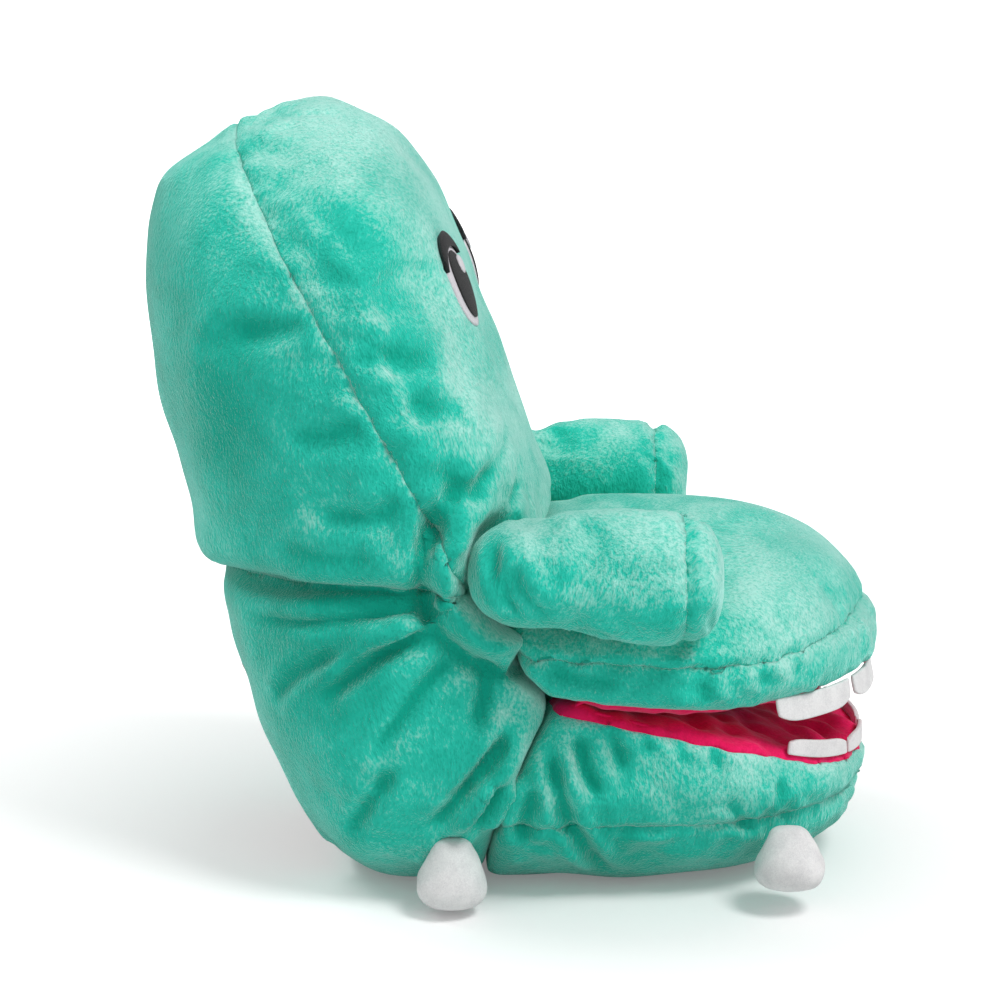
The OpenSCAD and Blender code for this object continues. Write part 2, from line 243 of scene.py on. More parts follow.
TORSO_REAR = [(0, 8), (3, 27), (12, 39), (26, 49), (45, 58), (63, 66), (90, 75), (108, 79), (122, 80), (134, 72),
              (143, 36)]
TORSO_HALF = [(0, 46), (3, 59), (12, 74), (26, 86), (42, 94), (60, 98), (108, 99), (130, 99), (138, 93), (144, 66)]
TORSO_FRONT = [(0, 36), (20, 37), (33, 42), (38, 49), (51, 62), (70, 68), (86, 71), (100, 67), (116, 58), (142, 50)]
TORSO_MIDDLE_Y = 42.0


def outside_torso(x, y, z):
    along = y - TORSO_MIDDLE_Y
    side = round_section(x, through(TORSO_HALF, z), along, through(TORSO_FRONT, z), through(TORSO_REAR, z),
                         np.where(along < 0, 4.0, 2.5))
    return soft_common(side, np.maximum(-z, z - 143), 3)


JOIN_LINE = [(0, 15.5), (40, 7), (70, -5), (86, -13), (110, -8), (134, -2)]
MOUTH_AXIS = (-28.5, 118.0)
ARM = {"x": 100.0, "y": 12.5, "z": 142.0}
ARM_ROOM = {"radius": 23.3, "from x": 75.0, "y": -3.0, "z": 143.0, "up": math.radians(4), "down": math.radians(4)}


def outside_arm_room(x, y, z):
    """The hollow in the body's side where an arm's root turns, opened forward over the arm's whole swing."""
    ahead, above = ARM_ROOM["y"] - y, z - ARM_ROOM["z"]
    swing = np.maximum(above * math.cos(ARM_ROOM["up"]) - ahead * math.sin(ARM_ROOM["up"]),
                       -above * math.cos(ARM_ROOM["down"]) - ahead * math.sin(ARM_ROOM["down"])) - ARM_ROOM["radius"]
    root = np.where(ahead > 0, swing, np.hypot(ahead, above) - ARM_ROOM["radius"])
    return soft_common(root, ARM_ROOM["from x"] - np.abs(x), 8)


def outside_body(x, y, z):
    whole = soft_union(outside_pillow(x, y, z), outside_torso(x, y, z), 3)
    seat_room = np.hypot(y - MOUTH_AXIS[0], z - MOUTH_AXIS[1]) - 33.5
    jaw_room = np.where(z < 134, y - through(JOIN_LINE, z) + 0.4, 40)
    room = soft_union(soft_union(seat_room, outside_arm_room(x, y, z), 10), jaw_room, 4)
    return soft_common(whole, -room, 6)


def side_line(obj, line, side):
    """Points (y, z) carried onto the cover's side, as seen square on from that side."""
    tree = BVHTree.FromObject(obj, bpy.context.evaluated_depsgraph_get())
    found = []
    for y, z in line:
        hit = tree.ray_cast(Vector((side * 300, y, z)) * MM, Vector((-side, 0, 0)))[0]
        if hit is not None:
            found.append(tuple(hit / MM))
    return found


def round_line(obj, middle, height, turns):
    """A line round the cover at height(y); turns are angles in degrees from the rear, about an upright at middle."""
    tree = BVHTree.FromObject(obj, bpy.context.evaluated_depsgraph_get())
    found, y = [], middle[1] + 60
    for turn in turns:
        way = Vector((math.sin(math.radians(turn)), math.cos(math.radians(turn)), 0))
        for _ in range(3):
            z = float(height(np.array([y]))[0])
            hit = tree.ray_cast((Vector((*middle, z)) + way * 250) * MM, -way)[0]
            y = hit.y / MM if hit is not None else y
        if hit is not None:
            found.append(tuple(hit / MM))
    return found


def fold(obj, lines, depth, width, lip=0.5, fade=0.25, over=None):
    """Presses soft folds into the cover along lines, and raises the cloth beside them.
    With over, a push in mm, the cloth on the line's far side rolls that way across the fold."""
    p, n = points_of(obj), normals_of(obj)
    move = np.zeros(len(p))
    roll = np.zeros((len(p), 3))
    for line in lines:
        if len(line) < 2:
            continue
        far, along = near_line(p, line)
        if over is not None:
            way = np.array(over, float) / np.linalg.norm(over)
            behind = -(p - nearest_on(p, line)) @ way
            weight = np.clip(behind / width + 0.3, 0, 1) * np.exp(-((far / (3.2 * width)) ** 2))
            ends = np.clip(np.minimum(along, 1 - along) / fade, 0, 1)
            roll += (ends * weight)[:, None] * np.array(over, float)
            plump = np.exp(-(((far - 2.5 * width) / (1.8 * width)) ** 2))
            move += ends * 0.5 * depth * np.clip(behind / width, 0, 1) * plump
        ends = np.clip(np.minimum(along, 1 - along) / fade, 0, 1)
        ends = ends * ends * (3 - 2 * ends)
        valley = np.exp(-((far / width) ** 2))
        ridge = np.exp(-(((far - 2.1 * width) / (1.1 * width)) ** 2))
        move += ends * depth * (lip * ridge - valley)
    place(obj, p + n * move[:, None] + roll)
    # Painted shade: the deeper a point lies in a fold, the darker the plush colours it.
    shade(obj, np.clip(-move / 3.5, 0, 1))


def shade(obj, amount):
    """Adds to the cover's record of how deep in a fold each point lies, which the plush reads as painted shade: the
    deeper, the darker.
    """
    a = obj.data.attributes.get("painted_fold_shade") or obj.data.attributes.new("painted_fold_shade", "FLOAT", "POINT")
    old = np.empty(len(obj.data.vertices))
    a.data.foreach_get("value", old)
    a.data.foreach_set("value", np.clip(old + amount, 0, 1))


def ripple(p, size, seed):
    """A smooth wandering value between about -1 and 1, with waves about size mm long."""
    chance = np.random.default_rng(seed)
    total = np.zeros(len(p))
    for _ in range(14):
        way = chance.normal(size=3)
        way *= 2 * math.pi / (size * chance.uniform(0.7, 1.6)) / np.linalg.norm(way)
        total += np.sin(p @ way + chance.uniform(0, 2 * math.pi))
    return total / math.sqrt(14 / 2)


def slub(obj, amount, size, seed):
    """Uneven filling: slow rises and dips all over."""
    p, n = points_of(obj), normals_of(obj)
    place(obj, p + n * (amount * ripple(p, size, seed))[:, None])


def pucker(obj, distance, amount, reach, pitch, seed):
    """Gathers that run away from a seam; distance(points) is how far each point is from it."""
    p, n = points_of(obj), normals_of(obj)
    near = np.exp(-((distance(p) / reach) ** 2))
    place(obj, p + n * (amount * near * ripple(p, pitch, seed))[:, None])


def cut_seam(obj, name, at, facing, bow=None, groove=1.5, width=2.2):
    """Cuts the cover along a plane, bowed up by bow(y) mm, and dips both edges into a seam.
    Returns the piece on the side that the plane faces; obj keeps the other."""
    at, facing = np.array(at, float), np.array(facing, float) / np.linalg.norm(facing)
    bm = bmesh.new()
    bm.from_mesh(obj.data)

    def lift(sign):
        if bow is not None:
            rise = bow(np.array([v.co.y for v in bm.verts]) / MM)
            for v, r in zip(bm.verts, rise):
                v.co.z += sign * r * MM

    lift(-1)
    geometry = bm.verts[:] + bm.edges[:] + bm.faces[:]
    bmesh.ops.bisect_plane(bm, geom=geometry, dist=2e-5, plane_co=at * MM, plane_no=facing)
    bm.normal_update()
    bm.faces.index_update()
    ahead = {f.index for f in bm.faces if (f.calc_center_median() / MM - Vector(at)).dot(Vector(facing)) > 0}
    depth = [(v, math.exp(-((((v.co / MM - Vector(at)).dot(Vector(facing))) / width) ** 2))) for v in bm.verts]
    for v, near in depth:
        v.co -= v.normal * (groove * near * MM)
    lift(1)
    pieces = []
    for keep_ahead in (False, True):
        part = bm.copy()
        part.faces.ensure_lookup_table()
        gone = [f for f in part.faces if (f.index in ahead) != keep_ahead]
        bmesh.ops.delete(part, geom=gone, context="FACES")
        pieces.append(part)
    behind, in_front = pieces
    behind.to_mesh(obj.data)
    behind.free()
    bm.free()
    return show(name, in_front)


def soften(obj):
    for poly in obj.data.polygons:
        poly.use_smooth = True


def back(obj, thickness=1.6):
    """Gives the cloth its thickness, inward."""
    m = obj.modifiers.new("cloth", "SOLIDIFY")
    m.thickness, m.offset = thickness * MM, -1
    settle(obj)
    soften(obj)


def arm_ring(p):
    """Distance from an arm root's middle, seen from the side."""
    return np.hypot(p[:, 1] - ARM_ROOM["y"], p[:, 2] - ARM_ROOM["z"])


COLOUR, NUMBER = "NodeSocketColor", "NodeSocketFloat"


def shader_group(name, inputs, outputs):
    """An empty node group with its named sockets: its tree, what it is given and what it gives."""
    tree = bpy.data.node_groups.new(name, "ShaderNodeTree")
    for label, kind, value in inputs:
        tree.interface.new_socket(label, in_out="INPUT", socket_type=kind).default_value = value
    for label, kind in outputs:
        tree.interface.new_socket(label, in_out="OUTPUT", socket_type=kind)
    return tree, tree.nodes.new("NodeGroupInput").outputs, tree.nodes.new("NodeGroupOutput").inputs


def feed(tree, socket, value):
    if isinstance(value, bpy.types.NodeSocket):
        tree.links.new(value, socket)
    else:
        socket.default_value = value


def add(tree, kind, inputs, **settings):
    """A shader node; inputs gives sockets by name or number, as a value or as the socket that feeds it."""
    made = tree.nodes.new("ShaderNode" + kind)
    for key, value in settings.items():
        setattr(made, key, value)
    for key, value in inputs.items():
        feed(tree, made.inputs[key], value)
    return made.outputs


def calc(tree, how, a, b=0.5):
    return add(tree, "Math", {0: a, 1: b}, operation=how)[0]


def span(tree, value, low, high):
    """The value stretched so that low becomes 0 and high becomes 1."""
    return add(tree, "MapRange", {"Value": value, "From Min": low, "From Max": high})[0]


def mix(tree, share, a, b):
    return add(tree, "Mix", {0: share, 6: a, 7: b}, data_type="RGBA")[2]


def noise(tree, where, scale, detail=2.0, rough=0.5, warp=0.0):
    return add(tree, "TexNoise",
               {"Vector": where, "Scale": scale, "Detail": detail, "Roughness": rough, "Distortion": warp})


def blend_of(tree, a, part_a, b, part_b):
    """a times part_a plus b times part_b."""
    return calc(tree, "ADD", calc(tree, "MULTIPLY", a, part_a), calc(tree, "MULTIPLY", b, part_b))


def short_pile():
    """Brushed pile: tufts that lie over in drifts, deep toned where they are parted; painted shade darkens the folds,
    and painted light and shade make tops paler and undersides deeper.
    """
    tree, given, gives = shader_group(
        "short_pile",
        [("Deep", COLOUR, (0, 0, 0, 1)), ("Middle", COLOUR, (0, 0, 0, 1)), ("Light", COLOUR, (0, 0, 0, 1)),
         ("Drift size", NUMBER, 17.0), ("Tuft size", NUMBER, 900.0), ("Lie", NUMBER, 0.0)],
        [("Colour", COLOUR), ("Roughness", NUMBER), ("Height", NUMBER)])
    where = add(tree, "TexCoord", {})["Object"]
    sway = noise(tree, where, 13.0, 1.0)["Color"]
    bent = add(tree, "VectorMath", {0: sway, 1: (0.035, 0.035, 0.035), 2: where}, operation="MULTIPLY_ADD")[0]
    combed = add(tree, "Mapping", {"Vector": bent, "Scale": (1.0, 0.8, 0.40)})[0]
    tufts = noise(tree, combed, given["Tuft size"], 2.5, 0.6)["Fac"]
    strands = noise(tree, combed, calc(tree, "MULTIPLY", given["Tuft size"], 2.6), 1.0)["Fac"]
    drift = noise(tree, where, given["Drift size"], 3.0, 0.55, 0.6)["Fac"]
    small_drift = noise(tree, where, calc(tree, "MULTIPLY", given["Drift size"], 4.2), 2.0, 0.5, 0.4)["Fac"]
    uneven = calc(tree, "MULTIPLY", calc(tree, "SUBTRACT", small_drift), 0.35)
    drift_and_painted_light = span(tree, calc(tree, "ADD", drift, uneven), 0.30, 0.68)
    # Painted light and shade: tops and fronts paler, undersides deeper, read from the cover's points.
    top_light_paint = add(tree, "Attribute", {}, attribute_name="painted_top_light_under_shade")["Fac"]
    drift_and_painted_light = calc(tree, "ADD", calc(tree, "ADD", drift_and_painted_light, given["Lie"]), top_light_paint)
    grain = calc(tree, "SUBTRACT", span(tree, tufts, 0.30, 0.70), 0.5)
    ruffled = calc(tree, "ADD", calc(tree, "MULTIPLY", drift_and_painted_light, 0.16), 0.24)
    fine = calc(tree, "SUBTRACT", strands, 0.5)
    tone = calc(tree, "ADD", calc(tree, "MULTIPLY", drift_and_painted_light, 0.48), calc(tree, "MULTIPLY", grain, ruffled))
    tone = calc(tree, "ADD", calc(tree, "ADD", tone, calc(tree, "MULTIPLY", fine, ruffled)), 0.12)
    # Painted shade: points deep in folds are coloured darker.
    fold_shade_amount = add(tree, "Attribute", {}, attribute_name="painted_fold_shade")["Fac"]
    tone = calc(tree, "SUBTRACT", tone, calc(tree, "MULTIPLY", fold_shade_amount, 0.8))
    low = mix(tree, span(tree, tone, 0.0, 0.45), given["Deep"], given["Middle"])
    feed(tree, gives["Colour"], mix(tree, span(tree, tone, 0.45, 1.0), low, given["Light"]))
    feed(tree, gives["Roughness"], calc(tree, "ADD", calc(tree, "MULTIPLY", tufts, 0.3), 0.65))
    feed(tree, gives["Height"], blend_of(tree, tufts, 0.7, strands, 0.3))
    return tree


def finish(name, group, given, relief, constants):
    """A material whose colour, roughness and relief come from a group; relief is in mm."""
    material = bpy.data.materials.new(name)
    material.use_nodes = True
    tree = material.node_tree
    surface = tree.nodes["Principled BSDF"].inputs
    made = tree.nodes.new("ShaderNodeGroup")
    made.node_tree = group
    for key, value in given.items():
        made.inputs[key].default_value = value
    for key, value in constants.items():
        surface[key].default_value = value
    feed(tree, surface["Base Color"], made.outputs["Colour"])
    feed(tree, surface["Roughness"], made.outputs["Roughness"])
    raised = add(tree, "Bump", {"Height": made.outputs["Height"], "Distance": relief * MM})["Normal"]
    feed(tree, surface["Normal"], raised)
    return material


def paint_top_light_and_under_shade(obj, upward=1.1, below=0.4):
    """Records painted light and shade: paler on the tops and fronts, which face the lamp, and deeper on the
    undersides, where shade falls.
    """
    n = normals_of(obj)
    over = n @ np.array([0, -0.66, 0.75])
    lie = upward * np.clip(over, 0, 1) ** 1.5 - below * np.clip(-over, 0, 1)
    a = obj.data.attributes.new("painted_top_light_under_shade", "FLOAT", "POINT")
    a.data.foreach_set("value", lie)


def dress(obj, material):
    obj.data.materials.clear()
    obj.data.materials.append(material)
    # Mint covers get painted light on their tops and fronts and painted shade underneath.
    if material is MINT:
        paint_top_light_and_under_shade(obj)


PILE = short_pile()
# Light serves both the pale tufts and the painted light on tops; Deep serves both the parted pile and the painted
# shade in folds and underneath.
MINT = finish("mint_short_pile", PILE,
              {"Deep": (0.0015, 0.42, 0.30, 1), "Middle": (0.022, 0.59, 0.45, 1), "Light": (0.44, 0.84, 0.74, 1)},
              1.5, {"Sheen Weight": 0.9, "Sheen Roughness": 0.35, "Sheen Tint": (0.64, 1.0, 0.93, 1),
                    "Specular IOR Level": 0.15})


body = grow("torso_cover", (0, 55, 132), outside_body, cuts=46)
remesh(body, 4.6)


def body_held(x, y, z):
    rear, up = leaning(y, z)
    seam = np.exp(-((rear / 5) ** 2)) * (z > 140)
    sewn = (np.hypot(y - ARM_ROOM["y"], z - ARM_ROOM["z"]) < 38) * (np.abs(x) > 60)
    under = z < 14
    front = (y < through(JOIN_LINE, z) + 8) & (z < 150)
    return np.clip(seam + sewn + under + front, 0, 1)


stuff(body, body_held, pressure=3.0, slack=0.05, cap=1.8)
refine(body)
FOLD_LINE = [(-60, 136), (0, 135), (31, 135), (55, 136.5), (86, 135), (118, 133), (150, 131)]
LOWER_FOLD = [(-60, 131), (0, 131), (33, 129.5), (55, 127.5), (86, 122), (110, 119), (150, 117)]
TURNING_MIDDLE = (0, 45)
fold(body, [round_line(body, TURNING_MIDDLE, lambda y: through(FOLD_LINE, y), range(-108, 109, 12))],
     5.6, 5.4, lip=0.15, fade=0.06, over=(0, 0, -1.8))
fold(body, [round_line(body, TURNING_MIDDLE, lambda y: through(LOWER_FOLD, y), range(start, start + 61, 12))
            for start in (-104, 44)], 3.2, 3.4, lip=0.5, fade=0.3, over=(0, 0, -2.0))
for side in (-1, 1):
    fold(body, [side_line(body, line, side) for line in (
        [(30, 122), (55, 110), (80, 89)],
        [(2, 84), (8, 70), (20, 55), (38, 35)],
        [(6, 58), (12, 46), (20, 34)])], 5.0, 3.4, lip=0.7)
    fold(body, [side_line(body, line, side) for line in (
        [(22, 114), (40, 96), (60, 66)],
        [(48, 66), (62, 44), (70, 30)],
        [(15, 110), (13, 95), (18, 78)],
        [(70, 112), (88, 100), (100, 84)],
        [(26, 34), (30, 22), (38, 14)])], 2.8, 3.4, lip=0.6)
    fold(body, [side_line(body, line, side) for line in (
        [(66, 232), (46, 228), (30, 224)],
        [(76, 246), (92, 240), (112, 236)],
        [(45, 214), (34, 208), (20, 206)],
        [(56, 205), (74, 198), (92, 196)],
        [(36, 186), (24, 178), (12, 176)],
        [(42, 172), (60, 166), (84, 166)],
        [(50, 152), (74, 149), (100, 152)])], 1.7, 5.0)
    fold(body, [side_line(body, line, side) for line in (
        [(4, 196), (14, 180), (25, 166)],
        [(-6, 186), (0, 174), (4, 166)],
        [(22, 182), (34, 164), (40, 150)])], 2.2, 3.4, lip=0.7)
# The cloth is gathered into a roll round each arm's root, with a groove outside it that gets painted shade.
ROLL_AT, ROLL_RISE, GROOVE_AT, GROOVE_DEPTH = 32.0, 7.5, 42.0, 4.2
p, n = points_of(body), normals_of(body)
ring = arm_ring(p)
root = ROLL_RISE * np.exp(-(((ring - ROLL_AT) / 4.6) ** 2))
root -= GROOVE_DEPTH * np.exp(-(((ring - GROOVE_AT) / 3.2) ** 2))
root *= np.clip((np.abs(p[:, 0]) - 76) / 10, 0, 1)
root *= np.clip((p[:, 1] + 18) / 22, 0, 1) * np.clip((172 - p[:, 2]) / 16, 0, 1)
place(body, p + n * root[:, None])
shade(body, np.clip(-root / 4, 0, 1))
pucker(body, lambda p: leaning(p[:, 1], p[:, 2])[0] + 400 * (p[:, 2] < 150), 0.9, 16, 15, 5)
slub(body, 0.5, 42, 11)

# The hand's way runs from the rear opening to an end wall; its floor and roof slope up toward the mouth.
HAND_HALF = 46.0
WAY_END_Y, WAY_END_FLOOR, WAY_END_ROOF = 27.0, 46.0, 113.0
FLOOR_SLOPE, ROOF_SLOPE = 0.805, 0.278
UPPER_CORNER = {"x": 36, "y": 121, "z": 88, "lean": 0.5}
LOWER_CORNER = {"x": 36, "y": 84, "z": 6, "lean": 0.4}


def way_floor(y):
    return WAY_END_FLOOR + (WAY_END_Y - y) * FLOOR_SLOPE


def way_roof(y):
    return WAY_END_ROOF + (WAY_END_Y - y) * ROOF_SLOPE


def open_rear(obj):
    """Cuts the hand's opening low in the rear. Returns a new bmesh that holds its rim, and the rim's edges."""
    bm = bmesh.new()
    bm.from_mesh(obj.data)
    up, low = UPPER_CORNER, LOWER_CORNER
    for point, facing in (((HAND_HALF, 0, 0), (1, 0, 0)), ((-HAND_HALF, 0, 0), (1, 0, 0)),
                          ((0, WAY_END_Y, WAY_END_ROOF), (0, ROOF_SLOPE, 1)),
                          ((0, WAY_END_Y, WAY_END_FLOOR), (0, FLOOR_SLOPE, 1)),
                          ((up["x"], up["y"], up["z"]), (1, up["lean"], 1)),
                          ((-up["x"], up["y"], up["z"]), (-1, up["lean"], 1)),
                          ((low["x"], low["y"], low["z"]), (1, low["lean"], -1)),
                          ((-low["x"], low["y"], low["z"]), (-1, low["lean"], -1))):
        near = [f for f in bm.faces if f.calc_center_median().y > 0.045 and abs(f.calc_center_median().x) < 0.060]
        cut = list({v for f in near for v in f.verts}) + list({e for f in near for e in f.edges}) + near
        bmesh.ops.bisect_plane(bm, geom=cut, dist=2e-5, plane_co=Vector(point) * MM,
                               plane_no=Vector(facing).normalized())

    def within(c):
        x, y, z = c / MM
        inside = abs(x) < HAND_HALF and way_floor(y) < z < way_roof(y) and y > 45
        under_upper = abs(x) - up["x"] + up["lean"] * (y - up["y"]) + z - up["z"] < 0
        over_lower = abs(x) - low["x"] + low["lean"] * (y - low["y"]) - (z - low["z"]) < 0
        return inside and under_upper and over_lower

    bmesh.ops.delete(bm, geom=[f for f in bm.faces if within(f.calc_center_median())], context="FACES")
    edges = [e for e in bm.edges if e.is_boundary and all(v.co.y > 0.045 and v.co.z < 0.105 for v in e.verts)]
    sleeve = bmesh.new()
    twin = {v: sleeve.verts.new(v.co) for v in {v for e in edges for v in e.verts}}
    rim = [sleeve.edges.new([twin[v] for v in e.verts]) for e in edges]
    bm.to_mesh(obj.data)
    bm.free()
    return sleeve, rim


back_cover = cut_seam(body, "back_cover", (0, 0, 0), (0, 0, 1), bow=lambda y: through(FOLD_LINE, y), groove=1.0)
SEAM_FOOT, SEAM_TOP = upright(-3.0, 20.0), upright(10.0, 205.0)
seam_way = (0, SEAM_FOOT[1] - SEAM_TOP[1], SEAM_TOP[0] - SEAM_FOOT[0])
face_cover = cut_seam(back_cover, "face_cover", (0, *SEAM_FOOT), seam_way)
for piece, nodes, fill in ((body, ("torso_panel", "torso_stuffing"), 0.6),
                           (back_cover, ("back_panel", "pillow_stuffing"), 0.75),
                           (face_cover, ("face_panel",), 0.75)):
    if piece is body:
        sleeve_bm, sleeve_rim = open_rear(body)
    back(piece)
    dress(piece, MINT)
    if piece is body:
        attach(piece, "base")
    else:
        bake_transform(piece)
    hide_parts(*nodes)


# ---- eyes ----
# Each eye is embroidered on the face panel in satin stitch: a white oval, a black round and one small highlight,
# with a plain curved lid sewn over the top edge. The thread stands slightly proud of the pile.
def satin_stitch():
    """Rows of thread laid side by side, with the light catching each strand."""
    tree, given, gives = shader_group(
        "satin_stitch",
        [("Thread", COLOUR, (0, 0, 0, 1)), ("Between", COLOUR, (0, 0, 0, 1)), ("Count", NUMBER, 520.0)],
        [("Colour", COLOUR), ("Roughness", NUMBER), ("Height", NUMBER)])
    where = add(tree, "TexCoord", {})["Object"]
    rows = add(tree, "TexWave",
               {"Vector": where, "Scale": given["Count"], "Distortion": 2.4, "Detail": 1.5, "Detail Scale": 1.3},
               bands_direction="X")["Fac"]
    length = add(tree, "Mapping", {"Vector": where, "Scale": (1.0, 0.3, 0.3)})[0]
    strand = noise(tree, length, 1500.0, 1.0)["Fac"]
    lie = blend_of(tree, rows, 0.6, strand, 0.5)
    feed(tree, gives["Colour"], mix(tree, span(tree, lie, 0.2, 0.9), given["Between"], given["Thread"]))
    feed(tree, gives["Roughness"], calc(tree, "SUBTRACT", 0.62, calc(tree, "MULTIPLY", rows, 0.2)))
    feed(tree, gives["Height"], lie)
    return tree


def patch(name, x, up, outline, lift, dome, body_tree):
    """A stitched patch laid on the face; outline(s, t) places the unit disc in mm about the eye's middle."""
    bm = bmesh.new()
    bmesh.ops.create_grid(bm, x_segments=22, y_segments=22, size=1)
    forward = Vector((0, -math.cos(LEAN), math.sin(LEAN)))
    for v in bm.verts:
        s, t = v.co.x, v.co.y
        disc = (s * math.sqrt(1 - t * t / 2), t * math.sqrt(1 - s * s / 2))
        a, b = outline(*disc)
        y, z = upright(-150.0, up + b)
        hit, facing, _, _ = body_tree.ray_cast(Vector((x + a, y, z)) * MM, -forward)
        proud = lift + dome * math.sqrt(max(0.0, 1 - min(1.0, disc[0] ** 2 + disc[1] ** 2)))
        v.co = hit + forward * proud * MM
    for _ in range(4):
        bmesh.ops.smooth_vert(bm, verts=[v for v in bm.verts if not v.is_boundary], factor=0.5,
                              use_axis_x=True, use_axis_y=True, use_axis_z=True)
    obj = show(name, bm)
    if obj.data.polygons[0].normal.dot(forward) < 0:
        obj.data.flip_normals()
    back(obj, 2.4)
    return obj


EYE_X, EYE_UP, EYE_TILT = 50.0, 117.0, math.radians(8)
SATIN = satin_stitch()
WHITE_THREAD = finish("white_thread", SATIN, {"Thread": (0.86, 0.83, 0.86, 1), "Between": (0.60, 0.57, 0.62, 1)},
                      0.25, {"Sheen Weight": 0.2, "Specular IOR Level": 0.4})
BLACK_THREAD = finish("black_thread", SATIN,
                      {"Thread": (0.022, 0.022, 0.024, 1), "Between": (0.003, 0.003, 0.004, 1)},
                      0.3, {"Sheen Weight": 0.05, "Specular IOR Level": 0.35})


def tilted(a, b):
    return (a * math.cos(EYE_TILT) - b * math.sin(EYE_TILT), a * math.sin(EYE_TILT) + b * math.cos(EYE_TILT))


def oval(middle_a, middle_b, half_a, half_b):
    def outline(s, t):
        return tilted(middle_a + half_a * s, middle_b + half_b * t)
    return outline


def lid(half_a, half_b, thick):
    """A curved band over the top of the eye, thickest in the middle."""
    def outline(s, t):
        turn = math.radians(90 - 62 * s)
        out = 1 + 0.5 * thick * t * (1 - 0.55 * s * s) / half_a
        return tilted(half_a * out * math.cos(turn), half_b * out * math.sin(turn))
    return outline


face_tree = BVHTree.FromObject(face_cover, bpy.context.evaluated_depsgraph_get())
for side, hand in ((-1, "right"), (1, "left")):
    toward = -side
    for part, outline, lift, dome, thread, slot in (
            ("eye_white", oval(0, 0, 13, 18.5), 0.5, 0.8, WHITE_THREAD, "white_thread"),
            ("eye_pupil", oval(0, -0.6, 9.4, 14.6), 1.5, 0.9, BLACK_THREAD, "black_thread"),
            ("eye_glint", oval(toward * 3.4, 6.5, 3.0, 4.0), 2.6, 0.5, WHITE_THREAD, "white_thread"),
            ("eyelid", lid(13.5, 19.0, 5.2), 1.9, 0.8, BLACK_THREAD, "black_thread")):
        piece = patch(f"{hand}_{part}_stitching", side * EYE_X, EYE_UP, outline, lift, dome, face_tree)
        dress(piece, thread)
        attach(piece, "backrest")
        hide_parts(f"{hand}_{part}")


# ---- hand sleeve ----
# A tube of plain lining cloth is sewn round the rear opening and leads the hand forward to the two finger ports.
# It hangs loosely inside the filling, so its walls are slack and a little wrinkled.
def cross_weave():
    """Plain weave: two sets of threads over and under each other."""
    tree, given, gives = shader_group(
        "cross_weave", [("Thread", COLOUR, (0, 0, 0, 1)), ("Gap", COLOUR, (0, 0, 0, 1)), ("Count", NUMBER, 900.0)],
        [("Colour", COLOUR), ("Roughness", NUMBER), ("Height", NUMBER)])
    where = add(tree, "TexCoord", {})["Object"]
    bands = [add(tree, "TexWave", {"Vector": where, "Scale": given["Count"], "Distortion": 0.6, "Detail": 1.0},
                 bands_direction=way)["Fac"] for way in "XZ"]
    over = calc(tree, "MAXIMUM", *bands)
    worn = noise(tree, where, 60.0)["Fac"]
    tone = blend_of(tree, over, 0.7, worn, 0.3)
    feed(tree, gives["Colour"], mix(tree, tone, given["Gap"], given["Thread"]))
    feed(tree, gives["Roughness"], calc(tree, "ADD", calc(tree, "MULTIPLY", worn, 0.2), 0.7))
    feed(tree, gives["Height"], over)
    return tree


SLEEVE_RINGS = 9
for k in range(1, SLEEVE_RINGS + 1):
    grown = bmesh.ops.extrude_edge_only(sleeve_bm, edges=sleeve_rim)["geom"]
    sleeve_rim = [g for g in grown if isinstance(g, bmesh.types.BMEdge)]
    for v in {v for e in sleeve_rim for v in e.verts}:
        x, y, z = v.co / MM
        height = min(max((z - way_floor(y)) / (way_roof(y) - way_floor(y)), 0.02), 0.98)
        deeper = y + (WAY_END_Y - y) / (SLEEVE_RINGS + 1 - k)
        slack = 1.2 * math.sin(0.21 * deeper + 0.11 * x) * (k < SLEEVE_RINGS)
        floor_z, roof_z = way_floor(deeper), way_roof(deeper)
        v.co = Vector((x * 0.995, deeper, floor_z + height * (roof_z - floor_z) + slack)) * MM
bmesh.ops.edgeloop_fill(sleeve_bm, edges=sleeve_rim)
bmesh.ops.recalc_face_normals(sleeve_bm, faces=sleeve_bm.faces[:])
sleeve = show("hand_sleeve_cloth", sleeve_bm)
back(sleeve, 0.8)
dress(sleeve, finish("lining_cloth", cross_weave(),
                     {"Thread": (0.62, 0.60, 0.55, 1), "Gap": (0.30, 0.29, 0.26, 1)}, 0.2,
                     {"Specular IOR Level": 0.2}))
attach(sleeve, "base")
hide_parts("hand_sleeve")


# ---- lower jaw ----
# The lower jaw is a stuffed plush tray: a side panel runs round it from one mouth corner to the other, a bottom
# panel closes it below, and the pink plush of the mouth is sewn in along the rim.
JAW_FRONT_CENTRE = -58.0
JAW_HALF = [(0, 46), (3, 56), (12, 70), (24, 81), (34, 87), (46, 91), (70, 91.5), (95, 92)]
JAW_FRONT = [(0, 46), (3, 60), (7, 69.5), (16, 80.5), (38, 91.5), (60, 91.5)]
JAW_SEAM_Z = 34.0
# The rim's height along y, which falls toward the front.
RIM = [(-156, 48.5), (-149.5, 50.5), (-123.5, 58), (-95.5, 68), (-70.5, 74.5), (-18.5, 86), (20, 92)]


def stadium(x, along, half, front):
    """About how far a point lies outside a plan with straight sides and an oval front."""
    return (np.sqrt((x / half) ** 2 + (np.minimum(along, 0) / front) ** 2) - 1) * 90


def outside_jaw(x, y, z):
    side = stadium(x, y - JAW_FRONT_CENTRE, through(JAW_HALF, z), through(JAW_FRONT, z))
    return soft_common(soft_common(side, np.maximum(-z, y - through(JOIN_LINE, z) + 0.6), 3), z - through(RIM, y), 5)


jaw = grow("lower_jaw_cover", (0, -58, 40), outside_jaw, cuts=36)
remesh(jaw, 4.2)


